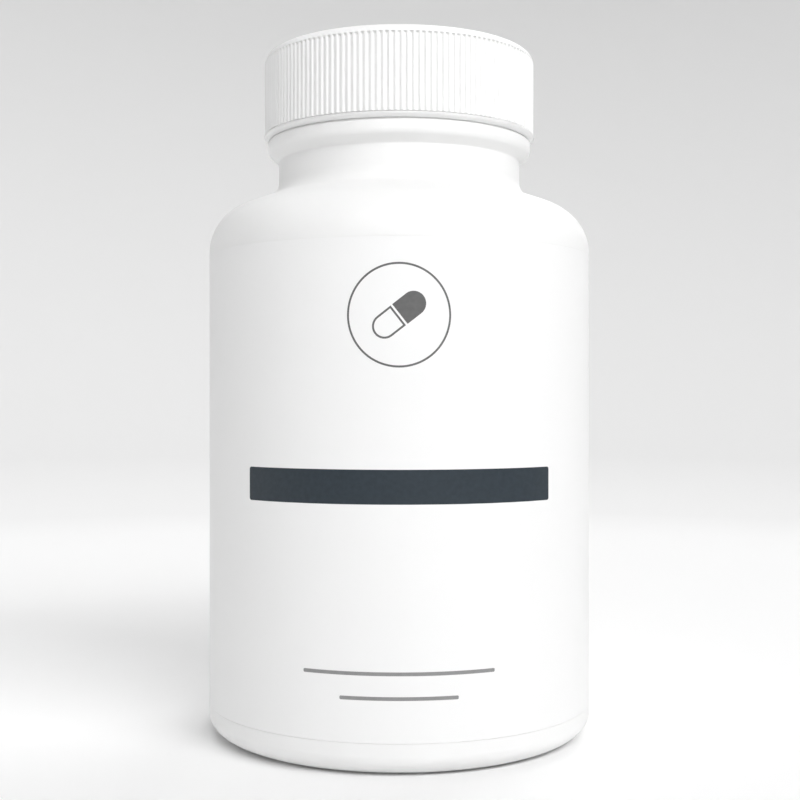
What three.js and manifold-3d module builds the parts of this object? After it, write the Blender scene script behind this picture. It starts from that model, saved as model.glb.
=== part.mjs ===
// A wide-mouth plastic tablet bottle with a ribbed screw cap.
//
// Four separate pieces: the hollow bottle with its threaded neck, the cap with its internal
// thread, the sealing disc held under the cap's top, and the film label wrapped round the body.
// Units are millimetres. +Z is up, the bottle's axis is the Z axis and it stands on z = 0.

import * as THREE from 'three';
import { mergeVertices } from 'three/addons/utils/BufferGeometryUtils.js';
import Module from 'manifold-3d';

// ---------------------------------------------------------------- driving dimensions

// Bottle body
const bodyRadius = 28.8;
const heelAcross = 4.8;           // the heel's rounding is wider than it is high
const heelHeight = 3.2;
const bodyTop = 72.2;             // height at which the straight side turns into the shoulder
const wall = 1.5;                 // wall behind the body's full radius
const pushUp = 1.7;               // rise of the base inside its standing ring
const standingRingWidth = 2.5;

// Shoulder: a tight arc, a wider one, a straight slope, then a fillet into the neck
const shoulderLowerRadius = 7.2;
const shoulderLowerTurn = 41.5;   // degrees turned from upright by the tight arc
const shoulderUpperRadius = 8.1;
const shoulderTurn = 69.5;        // degrees turned from upright on the straight slope
const neckFillet = 2.7;

// Neck and its bead
const neckRadius = 18.36;
const beadRadius = 19.96;
const beadUnderside = 85.75;      // height at which the neck starts to widen into the bead
const beadFull = 87.8;            // height at which the bead reaches its full radius
const beadTop = 89;
const beadFillet = 0.4;           // where the bead's 45 degree underside leaves the neck
const beadRounding = 0.9;         // between that underside and the bead's full radius
const beadEdge = 0.22;            // bevel at the bead's upper edge

// Threaded finish, one thread of six turns to the inch
const threadPitch = 25.4 / 6;
const threadRootRadius = 17.4;
const threadCrestRadius = 18.6;
const boreRadius = 15.1;
const finishTop = 99.45;
const finishEdge = 0.4;           // bevels at the mouth's outer and inner edge
const threadStart = 92.65;        // height of the ridge's middle where the bottle's thread begins
const bottleThreadTurn = 432;     // degrees that the bottle's thread runs
const capThreadTurn = 414;        // degrees that the cap's thread runs
const threadFadeTurn = 36;        // degrees over which a thread's end runs out
const threadRooting = 0.3;        // how deep a ridge's base is sunk in its wall
const threadSink = 0.1;           // thickness left of a ridge at its run-out end, inside the wall
const threadBaseWidth = 2.7;
const threadCrestWidth = 0.9;
const capThreadBaseWidth = 2.3;
const capThreadCrestWidth = 0.7;
const capThreadCrestRadius = 17.85;
const capThreadDrop = 1.57;       // the cap's ridge lies this far under the bottle's ridge

// Label panel and label
const panelBottom = 4.35;
const panelTop = 71.9;
const panelDepth = 0.55;
const labelThickness = 0.3;
const labelEndGap = 3;            // gap left between the label's two ends, at the back

// Cap
const capRadius = 20.5;           // over the ribs
const capBandRadius = 20.58;      // over the smooth band below the ribs
const capBandTop = 90.12;
const capBottomRadius = 19.97;    // the band draws in to this at the skirt's lower edge
const capBottom = 89.3;
const capTop = 102.25;
const capPanel = 1.3;             // thickness of the cap's top
const capTopEdgeRadius = 1.4;
const capInnerRadius = 18.95;
const ribCount = 150;
const grooveDepth = 0.3;
const grooveWidth = 0.38;
const grooveBottom = 90.18;
const grooveTop = 100.95;

// Liner
const linerThickness = 0.9;
const linerRadius = 18.5;

// Clearance between pieces that touch
const gap = 0.3;

// How far a cutting shape runs past the face that it opens
const pastEnd = 1;

// Fineness of the round shapes
const bodySegments = 64;
const cavitySegments = 48;
const capSegments = ribCount / 2;
const threadStepTurn = 9;         // degrees

// ---------------------------------------------------------------- helpers

const wasm = await Module();
wasm.setup();

const point = (radius, height) => new THREE.Vector2(radius, height);
const radians = THREE.MathUtils.degToRad;

// Points along an elliptical arc in the profile plane, both ends included.
function arc(centre, acrossRadius, upRadius, fromTurn, toTurn, steps) {
  const points = [];
  for (let i = 0; i <= steps; i += 1) {
    const angle = radians(fromTurn + (toTurn - fromTurn) * i / steps);
    points.push(point(
      centre.x + acrossRadius * Math.cos(angle),
      centre.y + upRadius * Math.sin(angle),
    ));
  }
  return points;
}

// A solid of revolution about Z from a profile that starts and ends on the axis.
function turned(profile, segments) {
  const geometry = new THREE.LatheGeometry(profile, segments);
  geometry.rotateX(Math.PI / 2);
  return toSolid(geometry);
}

// A solid for joining and cutting, with shared vertices merged and empty triangles dropped.
function toSolid(geometry) {
  const bare = geometry.clone();
  bare.deleteAttribute('normal');
  bare.deleteAttribute('uv');
  const merged = mergeVertices(bare, 1e-5);
  const index = merged.index.array;
  const kept = [];
  for (let i = 0; i < index.length; i += 3) {
    const [a, b, c] = [index[i], index[i + 1], index[i + 2]];
    if (a !== b && b !== c && c !== a) kept.push(a, b, c);
  }
  return new wasm.Manifold(new wasm.Mesh({
    numProp: 3,
    vertProperties: new Float32Array(merged.attributes.position.array),
    triVerts: new Uint32Array(kept),
  }));
}

function toGeometry(solid) {
  const mesh = solid.getMesh();
  const geometry = new THREE.BufferGeometry();
  geometry.setAttribute('position', new THREE.BufferAttribute(mesh.vertProperties, 3));
  geometry.setIndex(new THREE.BufferAttribute(mesh.triVerts, 1));
  geometry.computeVertexNormals();
  return geometry;
}

function piece(name, geometry, colour, roughness) {
  const material = new THREE.MeshStandardMaterial({ color: colour, roughness, metalness: 0 });
  const mesh = new THREE.Mesh(geometry, material);
  mesh.name = name;
  return mesh;
}

// ---------------------------------------------------------------- thread

// A helical ridge of four-cornered section, rooted inside a wall at baseRadius and standing out
// to crestRadius, which may be the larger (bottle) or the smaller (cap). Its ends sink into the wall.
function threadRidge({ baseRadius, crestRadius, baseWidth, crestWidth, startHeight, turn }) {
  const steps = Math.round(turn / threadStepTurn);
  const positions = [];
  const outward = Math.sign(crestRadius - baseRadius);
  const sunkRadius = baseRadius + outward * threadSink;
  for (let i = 0; i <= steps; i += 1) {
    const along = turn * i / steps;
    const fade = Math.min(1, along / threadFadeTurn, (turn - along) / threadFadeTurn);
    const crest = THREE.MathUtils.lerp(sunkRadius, crestRadius, fade);
    const middle = startHeight + threadPitch * along / 360;
    const corners = [
      [baseRadius, -baseWidth / 2],
      [crest, -crestWidth / 2],
      [crest, crestWidth / 2],
      [baseRadius, baseWidth / 2],
    ];
    const angle = radians(along);
    for (const [radius, lift] of corners) {
      positions.push(radius * Math.cos(angle), radius * Math.sin(angle), middle + lift);
    }
  }
  const index = [];
  const triangle = (a, b, c) => (outward > 0 ? index.push(a, b, c) : index.push(a, c, b));
  for (let i = 0; i < steps; i += 1) {
    for (let k = 0; k < 4; k += 1) {
      const next = (k + 1) % 4;
      triangle(4 * i + k, 4 * i + 4 + k, 4 * i + next);
      triangle(4 * i + next, 4 * i + 4 + k, 4 * i + 4 + next);
    }
  }
  const last = 4 * steps;
  triangle(0, 1, 2);
  triangle(0, 2, 3);
  triangle(last, last + 2, last + 1);
  triangle(last, last + 3, last + 2);
  const geometry = new THREE.BufferGeometry();
  geometry.setAttribute('position', new THREE.Float32BufferAttribute(positions, 3));
  geometry.setIndex(index);
  return toSolid(geometry);
}

// ---------------------------------------------------------------- bottle

// The shoulder from the straight side to the neck, moved inwards by an offset.
function shoulder(offset) {
  const lowerCentre = point(bodyRadius - shoulderLowerRadius, bodyTop);
  const lower = radians(shoulderLowerTurn);
  const slope = radians(shoulderTurn);
  const step = shoulderLowerRadius - shoulderUpperRadius;
  const upperCentre = point(
    lowerCentre.x + step * Math.cos(lower),
    lowerCentre.y + step * Math.sin(lower),
  );
  const slopeStart = point(
    upperCentre.x + shoulderUpperRadius * Math.cos(slope),
    upperCentre.y + shoulderUpperRadius * Math.sin(slope),
  );
  const filletRadius = neckRadius + neckFillet;
  const run = (slopeStart.x + neckFillet * Math.cos(slope) - filletRadius) / Math.sin(slope);
  const filletHeight = slopeStart.y + run * Math.cos(slope) + neckFillet * Math.sin(slope);
  const filletCentre = point(filletRadius, filletHeight);
  const lowerRadius = shoulderLowerRadius - offset;
  const upperRadius = shoulderUpperRadius - offset;
  const fillet = neckFillet + offset;
  const lowerArc = arc(lowerCentre, lowerRadius, lowerRadius, 0, shoulderLowerTurn, 4);
  const upperArc = arc(upperCentre, upperRadius, upperRadius, shoulderLowerTurn, shoulderTurn, 4);
  const neckArc = arc(filletCentre, fillet, fillet, 180 + shoulderTurn, 180, 3);
  return [...lowerArc, ...upperArc.slice(1), ...neckArc];
}

function bottleSolid() {
  const panelRadius = bodyRadius - panelDepth;
  const ringOuter = bodyRadius - heelAcross;
  const ringInner = ringOuter - standingRingWidth;
  const outside = [
    point(0, pushUp),
    point(ringInner - pushUp, pushUp),
    point(ringInner, 0),
    ...arc(point(ringOuter, heelHeight), heelAcross, heelHeight, -90, 0, 4),
    point(bodyRadius, panelBottom),
    point(panelRadius, panelBottom),
    point(panelRadius, panelTop),
    point(bodyRadius, panelTop),
    ...shoulder(0),
    ...arc(point(neckRadius + beadFillet, beadUnderside), beadFillet, beadFillet, 180, 135, 1),
    ...arc(point(beadRadius - beadRounding, beadFull), beadRounding, beadRounding, -45, 0, 2),
    point(beadRadius, beadTop - beadEdge),
    point(beadRadius - beadEdge, beadTop),
    point(threadRootRadius, beadTop),
    point(threadRootRadius, finishTop - finishEdge),
    point(threadRootRadius - finishEdge, finishTop),
    point(0, finishTop),
  ];
  const inside = [
    point(0, pushUp + wall),
    point(ringInner - pushUp, pushUp + wall),
    point(ringInner, wall),
    ...arc(point(ringOuter, heelHeight), heelAcross - wall, heelHeight - wall, -90, 0, 3),
    ...shoulder(wall),
    point(neckRadius - wall, beadUnderside),
    point(boreRadius, beadTop),
    point(boreRadius, finishTop - finishEdge),
    point(boreRadius + finishEdge, finishTop),
    point(boreRadius + finishEdge, finishTop + pastEnd),
    point(0, finishTop + pastEnd),
  ];
  const thread = threadRidge({
    baseRadius: threadRootRadius - threadRooting,
    crestRadius: threadCrestRadius,
    baseWidth: threadBaseWidth,
    crestWidth: threadCrestWidth,
    startHeight: threadStart,
    turn: bottleThreadTurn,
  });
  return turned(outside, bodySegments).add(thread).subtract(turned(inside, cavitySegments));
}

// ---------------------------------------------------------------- cap

// A ring round the skirt with a sharp tooth for each groove, which cuts the grooves.
function grooveCutter() {
  const clear = capRadius + grooveDepth;
  const halfTooth = grooveWidth / clear;
  const onCircle = (radius, angle) => point(radius * Math.cos(angle), radius * Math.sin(angle));
  const outline = [];
  for (let i = 0; i < ribCount; i += 1) {
    const angle = 2 * Math.PI * (i + 0.5) / ribCount;
    outline.push(
      onCircle(clear, angle - halfTooth),
      onCircle(capRadius - grooveDepth, angle),
      onCircle(clear, angle + halfTooth),
    );
  }
  const ring = new THREE.Shape();
  ring.absarc(0, 0, clear + pastEnd, 0, 2 * Math.PI, false);
  ring.holes.push(new THREE.Path(outline));
  const geometry = new THREE.ExtrudeGeometry(ring, {
    depth: grooveTop - grooveBottom,
    bevelEnabled: false,
    curveSegments: capSegments,
  });
  geometry.translate(0, 0, grooveBottom);
  return toSolid(geometry);
}

function capSolid() {
  const panelUnderside = capTop - capPanel;
  const edge = capTopEdgeRadius;
  const outside = [
    point(0, capBottom),
    point(capBottomRadius, capBottom),
    point(capBandRadius, capBandTop),
    point(capRadius, capBandTop),
    ...arc(point(capRadius - edge, capTop - edge), edge, edge, 0, 90, 4),
    point(0, capTop),
  ];
  const inside = [
    point(0, capBottom - pastEnd),
    point(capInnerRadius, capBottom - pastEnd),
    point(capInnerRadius, panelUnderside),
    point(0, panelUnderside),
  ];
  const thread = threadRidge({
    baseRadius: capInnerRadius + threadRooting,
    crestRadius: capThreadCrestRadius,
    baseWidth: capThreadBaseWidth,
    crestWidth: capThreadCrestWidth,
    startHeight: threadStart - capThreadDrop,
    turn: capThreadTurn,
  });
  return turned(outside, capSegments)
    .subtract(grooveCutter())
    .subtract(turned(inside, cavitySegments))
    .add(thread);
}

// ---------------------------------------------------------------- liner and label

function linerSolid() {
  const bottom = finishTop + gap;
  return turned([
    point(0, bottom),
    point(linerRadius, bottom),
    point(linerRadius, bottom + linerThickness),
    point(0, bottom + linerThickness),
  ], cavitySegments);
}

// The label is a thin band round the body, open at the back (+Y), lying in the bottle's panel.
function labelGeometry() {
  const halfGap = labelEndGap / 2 / bodyRadius;
  const from = Math.PI / 2 + halfGap;
  const to = from + 2 * (Math.PI - halfGap);
  const band = new THREE.Shape();
  band.absarc(0, 0, bodyRadius, from, to, false);
  band.absarc(0, 0, bodyRadius - labelThickness, to, from, true);
  const geometry = new THREE.ExtrudeGeometry(band, {
    depth: panelTop - panelBottom - 2 * gap,
    bevelEnabled: false,
    curveSegments: bodySegments,
  });
  geometry.translate(0, 0, panelBottom + gap);
  return geometry;
}

// ---------------------------------------------------------------- assembly

const group = new THREE.Group();
group.add(
  piece('bottle', toGeometry(bottleSolid()), 0xf3f3f1, 0.42),
  piece('cap', toGeometry(capSolid()), 0xf4f4f3, 0.45),
  piece('liner', toGeometry(linerSolid()), 0xe9e5da, 0.8),
  piece('label', labelGeometry(), 0xfafafa, 0.28),
);

export default group;
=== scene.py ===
"""The looks of a white plastic tablet bottle with a ribbed screw cap and a film label.

Lengths are in millimetres until a mesh or a light is made, and angles are in degrees unless a
docstring says otherwise. The bottle's axis is the Z axis, it stands on z = 0, and its front is at -Y.
"""

import math

import bpy
import numpy as np
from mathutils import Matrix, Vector
from mathutils.geometry import delaunay_2d_cdt


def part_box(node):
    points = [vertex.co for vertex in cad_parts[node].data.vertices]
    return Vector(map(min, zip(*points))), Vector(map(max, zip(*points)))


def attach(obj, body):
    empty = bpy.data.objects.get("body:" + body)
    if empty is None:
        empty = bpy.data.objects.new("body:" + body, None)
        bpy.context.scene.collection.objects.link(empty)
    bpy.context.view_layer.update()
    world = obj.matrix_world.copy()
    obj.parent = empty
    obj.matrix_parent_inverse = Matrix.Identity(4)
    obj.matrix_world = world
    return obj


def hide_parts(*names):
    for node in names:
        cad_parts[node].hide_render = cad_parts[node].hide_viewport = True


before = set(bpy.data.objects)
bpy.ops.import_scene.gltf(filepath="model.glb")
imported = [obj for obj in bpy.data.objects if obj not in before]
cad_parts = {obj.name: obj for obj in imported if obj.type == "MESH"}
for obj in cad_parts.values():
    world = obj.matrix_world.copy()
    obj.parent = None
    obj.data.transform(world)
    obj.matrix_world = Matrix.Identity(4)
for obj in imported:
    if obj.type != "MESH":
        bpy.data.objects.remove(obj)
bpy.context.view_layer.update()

MM = 0.001


# ---------------------------------------------------------------- sizes taken from the frame

def span(node):
    """A CAD node's largest radius, its lowest and its highest point, in millimetres."""
    low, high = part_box(node)
    return max(-low.x, high.x, -low.y, high.y) / MM, low.z / MM, high.z / MM


BODY_RADIUS, _, FINISH_TOP = span("bottle")
CAP_BAND_RADIUS, CAP_BOTTOM, CAP_TOP = span("cap")
LINER_RADIUS, LINER_BOTTOM, LINER_TOP = span("liner")
LABEL_RADIUS, _, _ = span("label")


# ---------------------------------------------------------------- driving dimensions

# Bottle body
HEEL_ACROSS = 4.8
HEEL_HEIGHT = 3.2
HEEL_CORNER_TURN = -71      # below this the heel turns tightly down to the standing ring
# That tight corner: how far each point lies inside the heel's arc, and its share of the arc's height
HEEL_CORNER = ((0.32, 0.0), (0.2, 0.08), (0.07, 0.5))
STANDING_RING_WIDTH = 2.5
STANDING_RING_INNER_EASE = 0.3      # its flat starts this far into its width
STANDING_RING_OUTER_EASE = 0.4      # and ends this far before its outer edge
PUSH_UP = 1.7
BASE_STEP_START = 2.6       # this far inside the standing ring the base starts to come down
BASE_STEP_END = 0.2         # and this far into the ring it is down
BODY_TOP = 72.2
WALL = 1.5
PANEL_BOTTOM = 4.8
PANEL_TOP = 71.7
PANEL_DEPTH = 0.09
PANEL_STEP = 0.04           # height over which the wall steps into the label panel
PANEL_LIP = 0.02            # the wall's narrow flat beside each step
PANEL_LOWER_EASE = 0.02     # how far across the lower step's two corners are eased
PANEL_UPPER_INNER_EASE = 0.01       # and the two corners of the upper step
PANEL_UPPER_OUTER_EASE = 0.003
SEAM_HEIGHT = 0.035         # moulded parting line at both sides
SEAM_START = 0.3            # this far inside the full radius the parting line starts to rise
SEAM_FULL = 1.2             # and this far inside it has its full height
PINCH_HEIGHT = 0.14         # where the parting line crosses the base
PINCH_RADIUS = 16.5
PINCH_FADE = 1.0

# Shoulder and neck
SHOULDER_LOWER_RADIUS = 7.2
SHOULDER_LOWER_TURN = 41.5
SHOULDER_UPPER_RADIUS = 8.1
SHOULDER_TURN = 69.5
NECK_FILLET = 2.7
NECK_RADIUS = 18.36
BEAD_RADIUS = 19.96
BEAD_UNDERSIDE = 85.9
BEAD_FULL = 88.0
BEAD_TOP = 88.98
BEAD_FILLET = 0.4
BEAD_FILLET_TURN = 45
BEAD_ROUNDING = 1.3
BEAD_SLOPE = 50             # of the underside, from upright
BEAD_EDGE = 0.06
SEAT_RADIUS = 19.7          # a low seat on the bead, that the cap comes down to
SEAT_TOP = 89.27
SEAT_FOOT_EASE = 0.02
SEAT_EDGE = 0.03

# Threaded finish and the cap's thread, six turns to the inch
THREAD_PITCH = 25.4 / 6
THREAD_ROOT_RADIUS = 17.4
THREAD_CREST_RADIUS = 18.6
THREAD_START = 92.65
THREAD_TURN = 432
THREAD_FADE_TURN = 36
THREAD_BASE_WIDTH = 2.3
THREAD_CREST_WIDTH = 0.8
ROOT_FILLET = 0.3
BORE_RADIUS = 15.1
LIP_ROUNDING = 0.4

# Cap
CAP_RADIUS = 20.5
CAP_BAND_TOP = 89.94
CAP_BOTTOM_RADIUS = 19.95
CAP_BAND_EDGE = 0.04
CAP_BAND_BULGE = 0.2        # the band's curve is drawn to a point this near its radius and foot
RECESS_DEPTH = 0.55         # a fine groove all round, between the band and the ribs
CAP_TOP_EDGE = 1.4
CAP_PANEL = 1.3
CAP_INNER_RADIUS = 18.95
CAP_INNER_CORNER = 0.5
CAP_LAND_RADIUS = 19.2      # the skirt's mouth, a little wider than its inside
CAP_LAND_HEIGHT = 0.25
CAP_LAND_BEVEL = 0.1
CAP_THREAD_CREST_RADIUS = 17.85
CAP_THREAD_DROP = 1.57
CAP_THREAD_TURN = 414
CAP_THREAD_BASE_WIDTH = 2.0
CAP_THREAD_CREST_WIDTH = 0.6
GATE_RADIUS = 1.5
GATE_DEPTH = 0.22
RIB_COUNT = 150
RIB_BOTTOM = 90.12
RIB_FOOT_SHARE = 0.9        # share of the grooves' depth at the ribs' bevelled foot
GROOVE_DEPTH = 0.3
GROOVE_TOP = 101.1
GROOVE_END = 0.07           # height over which a groove runs out at its upper end

# Liner
LINER_EDGE = 0.2

# Label
LABEL_FILM = 0.08
LABEL_END_GAP = 3.0
LABEL_CORNER = 1.2
LABEL_LOWER_GAP = 0.02      # from the panel's lower step to the film's lower edge
LABEL_UPPER_GAP = 0.006

# Print on the label: a ring with a capsule in it, a bar, and two rules
RING_MIDDLE = 61.3
RING_RADIUS = 6.95
RING_LINE = 0.27
CAPSULE_LENGTH = 8.2
CAPSULE_WIDTH = 3.3
CAPSULE_TILT = 38
CAPSULE_CUT = 0.28          # between the capsule's two halves
BAR_MIDDLE = 38.6
BAR_WIDTH = 46.0
BAR_HEIGHT = 4.6
BAR_CORNER = 0.35
RULES = ((14.0, 26.5, 0.5), (10.75, 16.0, 0.5))  # middle height, width and thickness of each

# Camera: its place, and its focal length as a share of the image's width
CAMERA_DISTANCE = 200.45
CAMERA_SIDE = 0.123
EYE_HEIGHT = 50.08
FOCAL_SHARE = 1.632
SENSOR_WIDTH = 36.0


# ---------------------------------------------------------------- mesh helpers

def smooth_step(low, high, value):
    """0 below low, 1 above high, and an even curve between them."""
    share = np.clip((value - low) / (high - low), 0.0, 1.0)
    return share * share * (3.0 - 2.0 * share)


def arc(centre, across, up, start, end, steps):
    """Profile points along an elliptical arc, both ends included."""
    turns = np.radians(np.linspace(start, end, steps + 1))
    return [(centre[0] + across * math.cos(turn), centre[1] + up * math.sin(turn)) for turn in turns]


def straight(start, end, steps):
    """Profile points along a line, without its first point."""
    shares = np.linspace(0, 1, steps + 1)[1:]
    return [tuple(np.array(start) * (1 - share) + np.array(end) * share) for share in shares]


class Shell:
    """A closed surface made of rings. Going along it, the solid lies on the left of the rings."""

    def __init__(self):
        self.points = []
        self.faces = []

    def ring(self, radii, heights, angles):
        """Adds one ring of points, at angles in radians that grow anticlockwise."""
        first = len(self.points)
        radii = np.broadcast_to(radii, angles.shape)
        heights = np.broadcast_to(heights, angles.shape)
        self.points += list(zip(radii * np.cos(angles), radii * np.sin(angles), heights))
        return list(range(first, len(self.points)))

    def centre(self, height):
        """Adds one point on the axis."""
        self.points.append((0.0, 0.0, height))
        return len(self.points) - 1

    def open_with(self, centre, ring):
        """Closes the surface's start with a fan from its centre."""
        for j, here in enumerate(ring):
            self.faces.append((centre, ring[(j + 1) % len(ring)], here))

    def close_with(self, ring, centre):
        """Closes the surface's end with a fan to its centre."""
        for j, here in enumerate(ring):
            self.faces.append((here, ring[(j + 1) % len(ring)], centre))

    def join(self, a, b):
        """Joins ring a to the next ring b. One may have a whole number of times the other's points."""
        if len(a) == len(b):
            for j in range(len(a)):
                k = (j + 1) % len(a)
                self.faces.append((a[j], a[k], b[k], b[j]))
            return
        fine, coarse = (a, b) if len(a) > len(b) else (b, a)
        ratio = len(fine) // len(coarse)
        turned = coarse is a
        for j, here in enumerate(coarse):
            there = coarse[(j + 1) % len(coarse)]
            middle = ratio * j + ratio // 2
            self.triangle(fine[middle], there, here, turned)
            for i in range(ratio * j, ratio * j + ratio):
                corner = here if i < middle else there
                self.triangle(fine[i], fine[(i + 1) % len(fine)], corner, turned)

    def triangle(self, a, b, c, turned):
        """Adds one triangle, facing the other way if it is turned."""
        self.faces.append((a, c, b) if turned else (a, b, c))

    def join_all(self, rings):
        """Joins each ring to the next."""
        for a, b in zip(rings, rings[1:]):
            self.join(a, b)

    def mesh(self, name):
        """The surface as an object."""
        return mesh_object(name, self.points, self.faces)


def mesh_object(name, points, faces):
    """A smooth-shaded object in metres from points in millimetres."""
    mesh = bpy.data.meshes.new(name)
    mesh.from_pydata((np.array(points) * MM).tolist(), [], faces)
    mesh.shade_smooth()
    mesh.update()
    made = bpy.data.objects.new(name, mesh)
    bpy.context.scene.collection.objects.link(made)
    return made


def dress(piece, body, node, slot, *materials):
    """Gives a piece its materials, puts it on its body and hides the CAD node that it stands for. The
    slot argument is not used.
    """
    for material in materials:
        piece.data.materials.append(material)
    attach(piece, body)
    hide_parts(node)


def thread_rise(angles, height, start, turn, base_width, crest_width):
    """How far a thread stands up at one height, from 0 to 1, for angles in radians."""
    rise = np.zeros(angles.shape)
    round_once = np.degrees(angles) % 360
    for turns_before in range(math.ceil(turn / 360)):
        along = round_once + 360 * turns_before
        fade = np.clip(np.minimum(along, turn - along) / THREAD_FADE_TURN, 0, 1)
        off = np.abs(height - start - THREAD_PITCH * along / 360)
        rise = np.maximum(rise, fade * (1 - smooth_step(crest_width / 2, base_width / 2, off)))
    return rise


# ---------------------------------------------------------------- bottle

SEAM_OFFSETS = (-0.7, -0.3, 0.0, 0.3, 0.7)  # across the parting line
SEAM_LEAST_RADIUS = 2.8     # nearer the axis than this, those columns keep their angles
HALF_COLUMNS = 132          # round half of the bottle
FINISH_ROW = 0.16           # height of a row on the threaded finish
# Radii of the base's rows, closer together where it comes down to the standing ring
BASE_ROWS = (1.2, *range(3, 16, 2), *np.arange(16.0, 18.5, 0.8), *np.arange(18.9, 21.4, 0.4))
FLOOR_LEAST_RADIUS = 2.0    # the inside's last row, nearest to the axis


def wall_angles(radius):
    """Column angles in radians, with close columns along the parting line at both sides."""
    beside = np.array(SEAM_OFFSETS) / max(radius, SEAM_LEAST_RADIUS)
    between = np.linspace(beside[-1], math.pi + beside[0], HALF_COLUMNS - len(beside) + 2)[1:-1]
    half = np.concatenate([beside, between])
    return np.concatenate([half, half + math.pi])


def seam_columns():
    """1 at the columns on the parting line and 0 elsewhere."""
    half = np.zeros(HALF_COLUMNS)
    half[SEAM_OFFSETS.index(0.0)] = 1.0
    return np.concatenate([half, half])


def shoulder(offset):
    """The shoulder's profile from the straight side to the neck, moved inwards by an offset."""
    lower_centre = np.array([BODY_RADIUS - SHOULDER_LOWER_RADIUS, BODY_TOP])
    lower = math.radians(SHOULDER_LOWER_TURN)
    slope = math.radians(SHOULDER_TURN)
    step = SHOULDER_LOWER_RADIUS - SHOULDER_UPPER_RADIUS
    upper_centre = lower_centre + step * np.array([math.cos(lower), math.sin(lower)])
    start = upper_centre + SHOULDER_UPPER_RADIUS * np.array([math.cos(slope), math.sin(slope)])
    fillet_across = NECK_RADIUS + NECK_FILLET
    run = (start[0] + NECK_FILLET * math.cos(slope) - fillet_across) / math.sin(slope)
    fillet_up = start[1] + run * math.cos(slope) + NECK_FILLET * math.sin(slope)
    lower_radius = SHOULDER_LOWER_RADIUS - offset
    upper_radius = SHOULDER_UPPER_RADIUS - offset
    fillet = NECK_FILLET + offset
    return [
        *arc(lower_centre, lower_radius, lower_radius, 0, SHOULDER_LOWER_TURN, steps=12),
        *arc(upper_centre, upper_radius, upper_radius, SHOULDER_LOWER_TURN, SHOULDER_TURN, steps=9)[1:],
        *arc((fillet_across, fillet_up), fillet, fillet, 180 + SHOULDER_TURN, 180, steps=12),
    ]


def base_profile():
    """The underside, from near the axis to the standing ring: a raised flat and a soft step down."""
    ring_outer = BODY_RADIUS - HEEL_ACROSS
    ring_inner = ring_outer - STANDING_RING_WIDTH
    step = smooth_step(ring_inner - BASE_STEP_START, ring_inner + BASE_STEP_END, np.array(BASE_ROWS))
    return [
        *[(radius, PUSH_UP * (1 - down)) for radius, down in zip(BASE_ROWS, step)],
        (ring_inner + STANDING_RING_INNER_EASE, 0.0),
        (ring_outer - STANDING_RING_OUTER_EASE, 0.0),
    ]


def heel_profile():
    """From the standing ring's outer edge round the heel to the straight side."""
    centre = (BODY_RADIUS - HEEL_ACROSS, HEEL_HEIGHT)
    heel = arc(centre, HEEL_ACROSS, HEEL_HEIGHT, HEEL_CORNER_TURN, 0, steps=16)
    radius, height = heel[0]
    return [*[(radius - inwards, height * share) for inwards, share in HEEL_CORNER], *heel]


def panel_profile():
    """The straight side, stepped in where the label lies."""
    panel_radius = BODY_RADIUS - PANEL_DEPTH
    half = PANEL_STEP / 2
    foot = (panel_radius, PANEL_BOTTOM + half)
    return [
        (BODY_RADIUS, PANEL_BOTTOM - half - 2 * PANEL_LIP),
        (BODY_RADIUS, PANEL_BOTTOM - half - PANEL_LIP),
        (BODY_RADIUS, PANEL_BOTTOM - half),
        (BODY_RADIUS - PANEL_LOWER_EASE, PANEL_BOTTOM - half / 2),
        (panel_radius + PANEL_LOWER_EASE, PANEL_BOTTOM + half / 2),
        foot,
        *straight(foot, (panel_radius, PANEL_TOP - PANEL_LIP), steps=12),
        (panel_radius + PANEL_UPPER_INNER_EASE, PANEL_TOP - PANEL_LIP / 2),
        (BODY_RADIUS - PANEL_UPPER_OUTER_EASE, PANEL_TOP),
        (BODY_RADIUS, PANEL_TOP + PANEL_LIP / 4),
        (BODY_RADIUS, PANEL_TOP + PANEL_LIP),
        (BODY_RADIUS, PANEL_TOP + 2 * PANEL_LIP),
    ]


def bead_profile():
    """From the neck out over the bead and in again to the foot of the threaded finish."""
    fillet_centre = (NECK_RADIUS + BEAD_FILLET, BEAD_UNDERSIDE)
    rounding_centre = (BEAD_RADIUS - BEAD_ROUNDING, BEAD_FULL)
    edge_centre = (BEAD_RADIUS - BEAD_EDGE, BEAD_TOP - BEAD_EDGE)
    root_centre = (THREAD_ROOT_RADIUS + ROOT_FILLET, SEAT_TOP + ROOT_FILLET)
    return [
        *arc(fillet_centre, BEAD_FILLET, BEAD_FILLET, 180, 180 - BEAD_FILLET_TURN, steps=4),
        *arc(rounding_centre, BEAD_ROUNDING, BEAD_ROUNDING, -BEAD_SLOPE, 0, steps=8),
        *arc(edge_centre, BEAD_EDGE, BEAD_EDGE, 0, 90, steps=5),
        (SEAT_RADIUS + SEAT_FOOT_EASE, BEAD_TOP),
        (SEAT_RADIUS, BEAD_TOP + SEAT_FOOT_EASE),
        (SEAT_RADIUS, SEAT_TOP - SEAT_EDGE),
        (SEAT_RADIUS - SEAT_EDGE, SEAT_TOP),
        *arc(root_centre, ROOT_FILLET, ROOT_FILLET, 270, 180, steps=4),
    ]


def finish_profile():
    """The threaded wall, before its thread is raised on it."""
    bottom = SEAT_TOP + ROOT_FILLET
    top = FINISH_TOP - LIP_ROUNDING
    rows = round((top - bottom) / FINISH_ROW)
    return straight((THREAD_ROOT_RADIUS, bottom), (THREAD_ROOT_RADIUS, top), rows)


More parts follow.
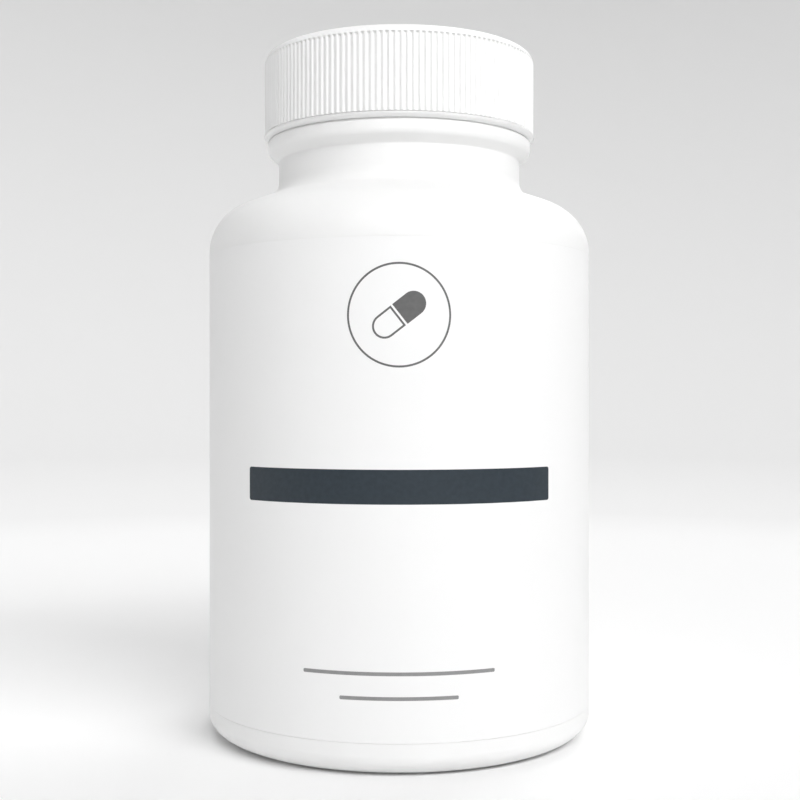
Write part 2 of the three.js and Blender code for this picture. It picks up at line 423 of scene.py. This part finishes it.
def inside_profile():
    """Over the lip, down the bore and the inside of the body to the floor."""
    outer = THREAD_ROOT_RADIUS - LIP_ROUNDING
    inner = BORE_RADIUS + LIP_ROUNDING
    edge = FINISH_TOP - LIP_ROUNDING
    ring_outer = BODY_RADIUS - HEEL_ACROSS
    body = shoulder(WALL)
    heel = arc((ring_outer, HEEL_HEIGHT), HEEL_ACROSS - WALL, HEEL_HEIGHT - WALL, -90, 0, steps=8)
    ring_inner = ring_outer - STANDING_RING_WIDTH
    floor = (ring_inner - PUSH_UP, PUSH_UP + WALL)
    return [
        *arc((outer, edge), LIP_ROUNDING, LIP_ROUNDING, 0, 90, steps=5)[1:],
        *arc((inner, edge), LIP_ROUNDING, LIP_ROUNDING, 90, 180, steps=5),
        *straight((BORE_RADIUS, edge), (BORE_RADIUS, BEAD_TOP), steps=5),
        *straight((BORE_RADIUS, BEAD_TOP), (NECK_RADIUS - WALL, BEAD_UNDERSIDE), steps=5),
        *reversed(body),
        *straight(body[0], (BODY_RADIUS - WALL, HEEL_HEIGHT), steps=8)[:-1],
        *reversed(heel),
        (ring_inner, WALL),
        floor,
        *straight(floor, (FLOOR_LEAST_RADIUS, PUSH_UP + WALL), steps=5),
    ]


def make_bottle(plastic):
    """One closed skin: up the outside from the base's centre, over the lip and down inside."""
    outside = [*heel_profile(), *panel_profile(), *shoulder(0), *bead_profile()]
    crest = THREAD_CREST_RADIUS - THREAD_ROOT_RADIUS
    seam = seam_columns()
    shell = Shell()
    start = shell.centre(PUSH_UP)
    rings = []
    for radius, height in base_profile():
        pinch = PINCH_HEIGHT * (1 - smooth_step(PINCH_RADIUS - PINCH_FADE, PINCH_RADIUS, radius))
        rings.append(shell.ring(radius, height - pinch * seam, wall_angles(radius)))
    for radius, height in outside:
        clear = smooth_step(SEAM_START, SEAM_FULL, BODY_RADIUS - radius)
        rings.append(shell.ring(radius + SEAM_HEIGHT * clear * seam, height, wall_angles(radius)))
    for radius, height in finish_profile():
        angles = wall_angles(radius)
        rise = thread_rise(
            angles, height, THREAD_START, THREAD_TURN, THREAD_BASE_WIDTH, THREAD_CREST_WIDTH)
        rings.append(shell.ring(radius + crest * rise + SEAM_HEIGHT * seam, height, angles))
    for radius, height in inside_profile():
        rings.append(shell.ring(radius, height, wall_angles(radius)))
    shell.open_with(start, rings[0])
    shell.join_all(rings)
    shell.close_with(rings[-1], shell.centre(PUSH_UP + WALL))
    bottle = shell.mesh("bottle_body")
    dress(bottle, "bottle", "bottle", "bottle_plastic", plastic)


# ---------------------------------------------------------------- cap

# Across one rib, from a groove's middle: share of the rib's pitch, and share of the groove's depth
GROOVE_HALF = ((0.0, 1.0), (0.12, 0.97), (0.2, 0.82), (0.255, 0.45), (0.3, 0.1), (0.36, 0.0))
CAP_THREAD_ROW = 0.2        # height of a row on the skirt's inside
RIB_ROWS = np.linspace(91.5, 100.7, 5)          # heights of the rows along the ribs
GROOVE_END_ROWS = (1.0, 0.85, 0.5, 0.15, 0.0)   # shares of the depth where the grooves run out
CAP_EDGE_START = 0.02       # the rounded edge's own rows start this far above the grooves
CAP_CEILING_ROWS = (2.0, 6.0, 12.0, 17.0)       # radii of the rows under the top panel
CAP_RIM_ROWS = (0.6, 3.0)   # how far the flat top's outer rows lie inside its rim
CAP_TOP_ROWS = (12.0, 8.0, 4.0, 2.2)            # radii of the flat top's other rows
GATE_LIP = 0.1              # from the last row of the flat top to the dimple
GATE_ROWS = (1.0, 0.8, 0.55, 0.3)               # shares of the dimple's radius
ON_WALL = 0.01              # a row this near the inside's radius carries the thread


def rib_columns():
    """Column angles in radians and each column's share of a groove's depth, all round the cap."""
    left = [(-share, depth) for share, depth in reversed(GROOVE_HALF[1:])]
    across = [(-0.5, 0.0), *left, *GROOVE_HALF]
    pitch = 2 * math.pi / RIB_COUNT
    angles = [pitch * (rib + 0.5 + share) for rib in range(RIB_COUNT) for share, _ in across]
    depths = [depth for _, depth in across] * RIB_COUNT
    return np.array(angles), np.array(depths)


def curve(start, control, end, steps):
    """Profile points along a quadratic curve, both ends included."""
    a, b, c = (np.array(p) for p in (start, control, end))
    shares = np.linspace(0, 1, steps + 1)
    return [tuple(a * (1 - t) ** 2 + 2 * b * t * (1 - t) + c * t * t) for t in shares]


def cap_side_radius(height):
    """The cap's radius over its ribs, which draws in where its upper edge starts to round."""
    above = max(0.0, height - (CAP_TOP - CAP_TOP_EDGE))
    return CAP_RADIUS - CAP_TOP_EDGE + math.sqrt(CAP_TOP_EDGE ** 2 - above ** 2)


def skirt_profile():
    """The band, the fine recess and the ribbed side, with each row's share of the grooves' depth."""
    edge = CAP_BAND_EDGE
    foot = (CAP_BOTTOM_RADIUS, CAP_BOTTOM + edge)
    bulge = (CAP_BAND_RADIUS - CAP_BAND_BULGE, CAP_BOTTOM + CAP_BAND_BULGE)
    brow = (CAP_BAND_RADIUS, CAP_BAND_TOP - edge)
    recess = CAP_RADIUS - RECESS_DEPTH
    rows = [
        (CAP_BOTTOM_RADIUS - 3 * edge, CAP_BOTTOM, 0),
        (CAP_BOTTOM_RADIUS - edge, CAP_BOTTOM + edge / 4, 0),
        *[(radius, height, 0) for radius, height in curve(foot, bulge, brow, steps=10)],
        (CAP_BAND_RADIUS - edge / 3, CAP_BAND_TOP - edge / 3, 0),
        (CAP_BAND_RADIUS - edge, CAP_BAND_TOP, 0),
        (recess + edge, CAP_BAND_TOP + edge / 3, 0),
        (recess, CAP_BAND_TOP + edge, 0),
        (recess, RIB_BOTTOM - edge, 0),
        (recess + edge / 2, RIB_BOTTOM - edge / 4, 0),
        (CAP_RADIUS - edge, RIB_BOTTOM, RIB_FOOT_SHARE),
        (CAP_RADIUS, RIB_BOTTOM + edge, 1),
        (CAP_RADIUS, RIB_BOTTOM + 3 * edge, 1),
        *[(CAP_RADIUS, height, 1) for height in RIB_ROWS],
    ]
    for share in GROOVE_END_ROWS:
        height = GROOVE_TOP - GROOVE_END * share
        rows.append((cap_side_radius(height), height, share))
    return rows


def cap_edge_profile():
    """The rounded edge between the ribbed side and the flat top."""
    centre = (CAP_RADIUS - CAP_TOP_EDGE, CAP_TOP - CAP_TOP_EDGE)
    edge = arc(centre, CAP_TOP_EDGE, CAP_TOP_EDGE, 0, 90, steps=12)
    return [(radius, height) for radius, height in edge if height > GROOVE_TOP + CAP_EDGE_START]


def cap_inside_profile():
    """From near the axis under the top panel, down inside the skirt, to the skirt's lower face."""
    ceiling = CAP_TOP - CAP_PANEL
    corner = CAP_INNER_CORNER
    land = CAP_BOTTOM + CAP_LAND_HEIGHT
    rows = round((ceiling - corner - land) / CAP_THREAD_ROW)
    return [
        *[(radius, ceiling) for radius in CAP_CEILING_ROWS],
        *arc((CAP_INNER_RADIUS - corner, ceiling - corner), corner, corner, 90, 0, steps=4),
        *straight((CAP_INNER_RADIUS, ceiling - corner), (CAP_INNER_RADIUS, land), rows),
        (CAP_LAND_RADIUS, CAP_BOTTOM + CAP_BAND_EDGE),
        (CAP_LAND_RADIUS + CAP_LAND_BEVEL, CAP_BOTTOM),
    ]


def cap_top_profile():
    """The flat top, from its rim to the small dimple that the mould's gate leaves in the middle."""
    rim = CAP_RADIUS - CAP_TOP_EDGE
    rows = [*[rim - inwards for inwards in CAP_RIM_ROWS], *CAP_TOP_ROWS, GATE_RADIUS + GATE_LIP]
    flat = [(radius, CAP_TOP) for radius in rows]
    dimple = [(GATE_RADIUS * share, CAP_TOP - GATE_DEPTH * (1 - share * share)) for share in GATE_ROWS]
    return [*flat, *dimple]


def make_cap(plastic):
    """One closed skin: down the inside from the panel's centre, up the ribs and over the top."""
    fine_angles, groove = rib_columns()
    coarse_angles = fine_angles[::len(fine_angles) // RIB_COUNT]
    shell = Shell()
    start = shell.centre(CAP_TOP - CAP_PANEL)
    rings = []
    for radius, height in cap_inside_profile():
        rise = thread_rise(
            coarse_angles, height, THREAD_START - CAP_THREAD_DROP, CAP_THREAD_TURN,
            CAP_THREAD_BASE_WIDTH, CAP_THREAD_CREST_WIDTH)
        inwards = (CAP_INNER_RADIUS - CAP_THREAD_CREST_RADIUS) * rise
        on_wall = abs(radius - CAP_INNER_RADIUS) < ON_WALL
        rings.append(shell.ring(radius - inwards * on_wall, height, coarse_angles))
    for radius, height, share in skirt_profile():
        rings.append(shell.ring(radius - GROOVE_DEPTH * share * groove, height, fine_angles))
    for radius, height in cap_edge_profile():
        rings.append(shell.ring(radius, height, fine_angles))
    for radius, height in cap_top_profile():
        rings.append(shell.ring(radius, height, coarse_angles))
    shell.open_with(start, rings[0])
    shell.join_all(rings)
    shell.close_with(rings[-1], shell.centre(CAP_TOP - GATE_DEPTH))
    cap = shell.mesh("screw_cap")
    dress(cap, "cap", "cap", "cap_plastic", plastic)


# ---------------------------------------------------------------- liner

LINER_COLUMNS = 144
LINER_ROWS = (4.0, 9.0, 14.0)   # radii of the rows on its two flat faces


def make_liner(foam):
    """The sealing disc under the cap's top panel, with softly pressed edges."""
    angles = np.linspace(0, 2 * math.pi, LINER_COLUMNS, endpoint=False)
    side = LINER_RADIUS - LINER_EDGE
    profile = [
        *[(radius, LINER_BOTTOM) for radius in LINER_ROWS],
        *arc((side, LINER_BOTTOM + LINER_EDGE), LINER_EDGE, LINER_EDGE, -90, 0, steps=4),
        *arc((side, LINER_TOP - LINER_EDGE), LINER_EDGE, LINER_EDGE, 0, 90, steps=4),
        *[(radius, LINER_TOP) for radius in reversed(LINER_ROWS)],
    ]
    shell = Shell()
    start = shell.centre(LINER_BOTTOM)
    rings = [shell.ring(radius, height, angles) for radius, height in profile]
    shell.open_with(start, rings[0])
    shell.join_all(rings)
    shell.close_with(rings[-1], shell.centre(LINER_TOP))
    liner = shell.mesh("sealing_disc")
    dress(liner, "liner", "liner", "liner_foam", foam)


# ---------------------------------------------------------------- label

LABEL_COLUMNS = 161         # of the even grid of points between the outlines
LABEL_ROWS = 15
OUTLINE_STEP = 1.2          # the longest side of an outline on the label
SAME_POINT = 1e-5           # points nearer than this are joined
BARE_FILM, BAR_INK, RING_INK, RULE_INK = range(4)   # the label's materials, in their order


def rounded_box(middle, width, height, corner, steps=6):
    """A rounded rectangle's outline on the flat label, anticlockwise."""
    outline = []
    for across, up, turn in ((1, 1, 0), (-1, 1, 90), (-1, -1, 180), (1, -1, 270)):
        centre = (across * (width / 2 - corner), middle + up * (height / 2 - corner))
        outline += arc(centre, corner, corner, turn, turn + 90, steps)
    return outline


def circle(middle, radius, steps=120):
    """A circle's outline on the flat label, anticlockwise."""
    return arc((0, middle), radius, radius, 0, 360 * (1 - 1 / steps), steps - 1)


def capsule_half(middle, inset, side):
    """Half of a capsule's outline, tilted, drawn in from its edge by an inset."""
    radius = CAPSULE_WIDTH / 2 - inset
    end = (CAPSULE_LENGTH - CAPSULE_WIDTH) / 2
    cut = CAPSULE_CUT / 2 + inset
    outline = [(cut, -radius), *arc((end, 0), radius, radius, -90, 90, steps=16), (cut, radius)]
    turn = math.radians(CAPSULE_TILT)
    return [
        (side * (x * math.cos(turn) - y * math.sin(turn)),
         middle + side * (x * math.sin(turn) + y * math.cos(turn)))
        for x, y in outline
    ]


def print_shapes():
    """Each ink's shapes on the flat label, as outlines that are filled by the even-odd rule."""
    ring = [circle(RING_MIDDLE, RING_RADIUS), circle(RING_MIDDLE, RING_RADIUS - RING_LINE)]
    filled = [capsule_half(RING_MIDDLE, 0, 1)]
    hollow = [capsule_half(RING_MIDDLE, 0, -1), capsule_half(RING_MIDDLE, RING_LINE, -1)]
    bar = [rounded_box(BAR_MIDDLE, BAR_WIDTH, BAR_HEIGHT, BAR_CORNER)]
    rules = [rounded_box(middle, width, thick, thick / 3) for middle, width, thick in RULES]
    return {BAR_INK: bar, RING_INK: [*ring, *filled, *hollow], RULE_INK: rules}


def finely(outline):
    """An outline with points added along its long sides, which have to follow the round body."""
    made = []
    for here, there in zip(outline, outline[1:] + outline[:1]):
        count = max(1, math.ceil(math.dist(here, there) / OUTLINE_STEP))
        made += [tuple(np.array(here) + (np.array(there) - here) * i / count) for i in range(count)]
    return made


def inside(points, outlines):
    """Which points lie inside the outlines by the even-odd rule."""
    x, y = points[:, 0], points[:, 1]
    within = np.zeros(len(points), bool)
    for outline in outlines:
        for (x0, y0), (x1, y1) in zip(outline, outline[1:] + outline[:1]):
            if y0 == y1:
                continue
            crosses = (y0 > y) != (y1 > y)
            within ^= crosses & (x < x0 + (y - y0) * (x1 - x0) / (y1 - y0))
    return within


def points_and_sides(outlines):
    """All the outlines' points, and their sides as pairs of points."""
    points, sides = [], []
    for outline in outlines:
        first = len(points)
        count = len(outline)
        points += [Vector(point) for point in outline]
        sides += [(first + i, first + (i + 1) % count) for i in range(count)]
    return points, sides


def flat_label():
    """The flat film's points, its triangles, all facing one way, and each triangle's material."""
    width = 2 * math.pi * LABEL_RADIUS - LABEL_END_GAP
    bottom = PANEL_BOTTOM + PANEL_STEP / 2 + LABEL_LOWER_GAP
    top = PANEL_TOP - LABEL_UPPER_GAP
    edge = finely(rounded_box((bottom + top) / 2, width, top - bottom, LABEL_CORNER))
    shapes = {ink: [finely(outline) for outline in outlines] for ink, outlines in print_shapes().items()}
    printed = [outline for outlines in shapes.values() for outline in outlines]
    points, sides = points_and_sides([edge, *printed])
    columns = np.linspace(-width / 2, width / 2, LABEL_COLUMNS)
    rows = np.linspace(bottom, top, LABEL_ROWS)
    grid = [Vector((x, z)) for x in columns[1:-1] for z in rows[1:-1]]
    made, _, triangles, *_ = delaunay_2d_cdt([*points, *grid], sides, [], 0, SAME_POINT)
    flat = np.array([tuple(point) for point in made])
    triangles = np.array(triangles)
    middles = flat[triangles].mean(axis=1)
    keep = inside(middles, [edge])
    triangles, middles = triangles[keep], middles[keep]
    corners = flat[triangles]
    areas = np.cross(corners[:, 1] - corners[:, 0], corners[:, 2] - corners[:, 0])
    triangles[areas < 0] = triangles[areas < 0][:, ::-1]
    materials = np.full(len(triangles), BARE_FILM)
    for ink, outlines in shapes.items():
        materials[inside(middles, outlines)] = ink
    return flat, triangles.tolist(), materials.tolist()


def rim_of(triangles):
    """The sides that only one triangle has, as pairs of points."""
    sides = [side for a, b, c in triangles for side in ((a, b), (b, c), (c, a))]
    known = set(sides)
    return [(a, b) for a, b in sides if (b, a) not in known]


def label_normals(mesh, outwards, layer):
    """A normal for each corner: straight out or in on the film's two faces, flat on its rim."""
    normals = []
    for face in mesh.polygons:
        on_rim = face.index >= 2 * layer
        side = 1 if face.index < layer else -1
        for point in face.vertices:
            normals.append(face.normal if on_rim else side * outwards[point % len(outwards)])
    return [tuple(normal) for normal in normals]


def make_label(film, bar_ink, ring_ink, rule_ink):
    """The flat film wrapped round the body, with an inner layer and a rim that close it."""
    flat, triangles, materials = flat_label()
    turns = flat[:, 0] / LABEL_RADIUS - math.pi / 2
    level = np.zeros(len(flat))
    outwards = np.stack([np.cos(turns), np.sin(turns), level], axis=1)
    heights = np.stack([level, level, flat[:, 1]], axis=1)
    outer = outwards * LABEL_RADIUS + heights
    inner = outwards * (LABEL_RADIUS - LABEL_FILM) + heights
    count = len(flat)
    rim = rim_of(triangles)
    faces = [
        *triangles,
        *[(c + count, b + count, a + count) for a, b, c in triangles],
        *[(b, a, a + count, b + count) for a, b in rim],
    ]
    label = mesh_object("film_label", np.concatenate([outer, inner]), faces)
    dress(label, "bottle", "label", "label_film", film, bar_ink, ring_ink, rule_ink)
    unprinted = [BARE_FILM] * (len(triangles) + len(rim))
    label.data.polygons.foreach_set("material_index", [*materials, *unprinted])
    label.data.normals_split_custom_set(label_normals(label.data, outwards, len(triangles)))


# ---------------------------------------------------------------- materials

NOISE_LOW = 0.3             # almost all of a noise field lies between these two values
NOISE_HIGH = 0.7
EVEN_SCATTER = (1, 1, 1)    # light of every colour goes equally far in the milky plastics


def grey(value):
    """A neutral colour."""
    return (value, value, value)


class Surface:
    """A procedural material, built round one Principled shader."""

    def __init__(self, name, colour, roughness, **plain):
        self.material = bpy.data.materials.new(name)
        self.material.use_nodes = True
        self.nodes = self.material.node_tree.nodes
        self.links = self.material.node_tree.links
        self.shader = self.nodes["Principled BSDF"]
        self.shader.inputs["Base Color"].default_value = (*colour, 1)
        self.shader.inputs["Roughness"].default_value = roughness
        self.shader.inputs["Metallic"].default_value = 0
        self.colour = np.array(colour)
        self.roughness = roughness
        for socket, value in plain.items():
            self.shader.inputs[socket.replace("_", " ")].default_value = value
        self.place = self.nodes.new("ShaderNodeTexCoord").outputs["Object"]
        self.normal = None

    def noise(self, size, detail=2.0, stretch=(1, 1, 1)):
        """A noise field whose features are about size millimetres across."""
        mapping = self.nodes.new("ShaderNodeMapping")
        mapping.inputs["Scale"].default_value = stretch
        self.links.new(self.place, mapping.inputs["Vector"])
        noise = self.nodes.new("ShaderNodeTexNoise")
        noise.inputs["Scale"].default_value = 1 / (size * MM)
        noise.inputs["Detail"].default_value = detail
        self.links.new(mapping.outputs["Vector"], noise.inputs["Vector"])
        return noise.outputs["Fac"]

    def between(self, field, low, high):
        """A noise field stretched to run from low to high."""
        stretched = self.nodes.new("ShaderNodeMapRange")
        stretched.inputs["From Min"].default_value = NOISE_LOW
        stretched.inputs["From Max"].default_value = NOISE_HIGH
        stretched.inputs["To Min"].default_value = low
        stretched.inputs["To Max"].default_value = high
        self.links.new(field, stretched.inputs["Value"])
        return stretched.outputs["Result"]

    def vary_roughness(self, field, less, more):
        """Lets the roughness follow a field, from a little less than its own value to more."""
        roughness = self.between(field, self.roughness - less, self.roughness + more)
        self.links.new(roughness, self.shader.inputs["Roughness"])

    def vary_colour(self, field, spread):
        """Lets the colour follow a field, from a spread darker than its own to as much lighter."""
        mix = self.nodes.new("ShaderNodeMix")
        mix.data_type = "RGBA"
        mix.inputs["A"].default_value = (*(self.colour - spread), 1)
        mix.inputs["B"].default_value = (*(self.colour + spread), 1)
        self.links.new(self.between(field, 0, 1), mix.inputs["Factor"])
        self.links.new(mix.outputs["Result"], self.shader.inputs["Base Color"])

    def bump(self, field, height):
        """Raises the surface by a field, height in millimetres, on top of earlier bumps."""
        bump = self.nodes.new("ShaderNodeBump")
        bump.inputs["Distance"].default_value = height * MM
        bump.inputs["Strength"].default_value = 1.0
        self.links.new(field, bump.inputs["Height"])
        if self.normal:
            self.links.new(self.normal, bump.inputs["Normal"])
        self.normal = bump.outputs["Normal"]
        self.links.new(self.normal, self.shader.inputs["Normal"])


def bottle_plastic():
    """Milky blow-moulded polyethylene: soft gloss, faint waviness and a fine mould texture."""
    surface = Surface(
        "bottle_plastic", colour=(0.86, 0.86, 0.858), roughness=0.5,
        IOR=1.54, Subsurface_Weight=0.15, Subsurface_Scale=1.5 * MM, Subsurface_Radius=EVEN_SCATTER)
    surface.vary_colour(surface.noise(size=14), spread=0.01)
    surface.vary_roughness(surface.noise(size=3, detail=4), less=0.04, more=0.04)
    surface.bump(surface.noise(size=9), height=0.02)
    surface.bump(surface.noise(size=0.35, detail=3), height=0.0015)
    return surface.material


def cap_plastic():
    """Injection-moulded polypropylene: a little more matt, with a fine eroded grain."""
    surface = Surface(
        "cap_plastic", colour=(0.86, 0.86, 0.859), roughness=0.52,
        IOR=1.49, Subsurface_Weight=0.1, Subsurface_Scale=1.0 * MM, Subsurface_Radius=EVEN_SCATTER)
    surface.vary_colour(surface.noise(size=8), spread=0.01)
    surface.vary_roughness(surface.noise(size=2, detail=4), less=0.04, more=0.04)
    surface.bump(surface.noise(size=0.22, detail=3), height=0.002)
    return surface.material


def liner_foam():
    """Pressed polyethylene foam with small cells."""
    surface = Surface("liner_foam", colour=(0.82, 0.8, 0.75), roughness=0.8, IOR=1.5)
    surface.vary_colour(surface.noise(size=1.2, detail=4), spread=0.03)
    surface.vary_roughness(surface.noise(size=0.6, detail=2), less=0.08, more=0.1)
    surface.bump(surface.noise(size=0.5, detail=3), height=0.05)
    return surface.material


def label_film():
    """White film, smoother than the bottle, that lies with a faint ripple."""
    surface = Surface("label_film", colour=grey(0.86), roughness=0.46, IOR=1.5)
    surface.vary_colour(surface.noise(size=20), spread=0.005)
    surface.vary_roughness(surface.noise(size=4, detail=4), less=0.03, more=0.03)
    surface.bump(surface.noise(size=7, detail=1, stretch=(1, 1, 0.5)), height=0.006)
    surface.bump(surface.noise(size=0.25, detail=2), height=0.0006)
    return surface.material


def ink(name, colour, spread, roughness):
    """Printed ink with the slightly uneven coverage of a press."""
    surface = Surface(name, colour, roughness, IOR=1.5)
    surface.vary_colour(surface.noise(size=0.6, detail=5), spread)
    surface.vary_roughness(surface.noise(size=0.8, detail=3), less=0.04, more=0.05)
    surface.bump(surface.noise(size=0.12, detail=3), height=0.0008)
    return surface.material


# ---------------------------------------------------------------- studio

FLOOR_RADIUS = 250.0
FLOOR_ROWS = (60.0, 120.0, 180.0)
SWEEP_RADIUS = 400.0
HEM_END = 340.0             # the sweep's upper rim is turned back down, behind it, to this height
COVE_COLUMNS = 128
PAPER_ROUGHNESS = 0.9
FLOOR_GREY = 0.97
# Painted shade makes the cove's paper greyer upwards: the height of each stretch's end, and its grey
# there
COVE_PAINTED_SHADE = ((6, 0.865), (25, 0.765), (140, 0.67), (300, 0.545))

# Softboxes: name, azimuth, elevation, width, height, and power in watts
SOFTBOXES = (
    ("key_light", 26, 28, 1150, 700, 29.3),
    ("top_light", 0, 85, 700, 700, 1.9),
    ("left_fill", -100, 50, 700, 700, 0.8),
    ("back_light_right", 150, 45, 700, 700, 4.1),
    ("back_light_left", -150, 50, 700, 700, 1.5),
)
SOFTBOX_DISTANCE = 1200.0
ROOM_STRENGTH = 0.02
NEAR_CLIP = 10.0
FAR_CLIP = 10000.0


def cove_paper():
    """Matt seamless paper, white on the floor, with painted shade that turns it greyer up the sweep."""
    surface = Surface("cove_paper", grey(FLOOR_GREY), PAPER_ROUGHNESS)
    height = surface.nodes.new("ShaderNodeSeparateXYZ")
    surface.links.new(surface.place, height.inputs["Vector"])
    low = 0
    shade = None
    # Painted shade: each stretch mixes the paper towards a darker grey higher up the sweep
    for high, value in COVE_PAINTED_SHADE:
        rise = surface.nodes.new("ShaderNodeMapRange")
        rise.inputs["From Min"].default_value = low * MM
        rise.inputs["From Max"].default_value = high * MM
        surface.links.new(height.outputs["Z"], rise.inputs["Value"])
        mix = surface.nodes.new("ShaderNodeMix")
        mix.data_type = "RGBA"
        mix.inputs["A"].default_value = (*grey(FLOOR_GREY), 1)
        mix.inputs["B"].default_value = (*grey(value), 1)
        surface.links.new(rise.outputs["Result"], mix.inputs["Factor"])
        if shade:
            surface.links.new(shade, mix.inputs["A"])
        shade = mix.outputs["Result"]
        low = high
    surface.links.new(shade, surface.shader.inputs["Base Color"])
    return surface.material


def make_stage(paper):
    """A round cove: a flat floor that sweeps up all the way round, to a rim with a hem."""
    angles = np.linspace(0, 2 * math.pi, COVE_COLUMNS, endpoint=False)
    profile = [
        (FLOOR_RADIUS + SWEEP_RADIUS, HEM_END),
        *arc((FLOOR_RADIUS, SWEEP_RADIUS), SWEEP_RADIUS, SWEEP_RADIUS, 0, -90, steps=40),
        *[(radius, 0.0) for radius in reversed(FLOOR_ROWS)],
    ]
    shell = Shell()
    rings = [shell.ring(radius, height, angles) for radius, height in profile]
    shell.join_all(rings)
    shell.close_with(rings[-1], shell.centre(0.0))
    stage = shell.mesh("studio_cove")
    stage.data.materials.append(paper)


def softbox(name, azimuth, elevation, width, height, watts):
    """A soft light round the bottle. Azimuth 0 is on the camera's side, and 90 on its right."""
    light = bpy.data.lights.new(name, "AREA")
    light.shape = "RECTANGLE"
    light.size = width * MM
    light.size_y = height * MM
    light.energy = watts
    lamp = bpy.data.objects.new(name, light)
    turn = math.radians(azimuth)
    rise = math.radians(elevation)
    away = Vector((math.sin(turn) * math.cos(rise), -math.cos(turn) * math.cos(rise), math.sin(rise)))
    lamp.location = (away * SOFTBOX_DISTANCE + Vector((0, 0, EYE_HEIGHT))) * MM
    lamp.rotation_euler = (-away).to_track_quat("-Z", "Y").to_euler()
    lamp.visible_camera = False
    bpy.context.scene.collection.objects.link(lamp)


def make_room():
    """The softboxes and a dim, even room, shown with the plain standard view transform."""
    for settings in SOFTBOXES:
        softbox(*settings)
    world = bpy.data.worlds.new("dim_room")
    world.use_nodes = True
    background = world.node_tree.nodes["Background"]
    background.inputs["Color"].default_value = (1, 1, 1, 1)
    background.inputs["Strength"].default_value = ROOM_STRENGTH
    bpy.context.scene.world = world
    bpy.context.scene.view_settings.view_transform = "Standard"


def make_camera():
    """A level camera in front of the bottle, at the height that the photo was taken from."""
    camera = bpy.data.cameras.new("camera")
    camera.sensor_width = SENSOR_WIDTH
    camera.lens = SENSOR_WIDTH * FOCAL_SHARE
    camera.clip_start = NEAR_CLIP * MM
    camera.clip_end = FAR_CLIP * MM
    holder = bpy.data.objects.new("camera", camera)
    holder.location = Vector((CAMERA_SIDE, -CAMERA_DISTANCE, EYE_HEIGHT)) * MM
    holder.rotation_euler = (math.radians(90), 0, 0)
    bpy.context.scene.collection.objects.link(holder)
    bpy.context.scene.camera = holder


# ---------------------------------------------------------------- assembly

make_bottle(bottle_plastic())
make_cap(cap_plastic())
make_liner(liner_foam())
make_label(
    label_film(),
    ink("slate_ink", (0.015, 0.0255, 0.036), spread=(0.003, 0.0035, 0.005), roughness=0.5),
    ink("grey_ink", grey(0.12), spread=0.01, roughness=0.4),
    ink("pale_ink", grey(0.255), spread=0.015, roughness=0.4),
)
make_stage(cove_paper())
make_room()
make_camera()
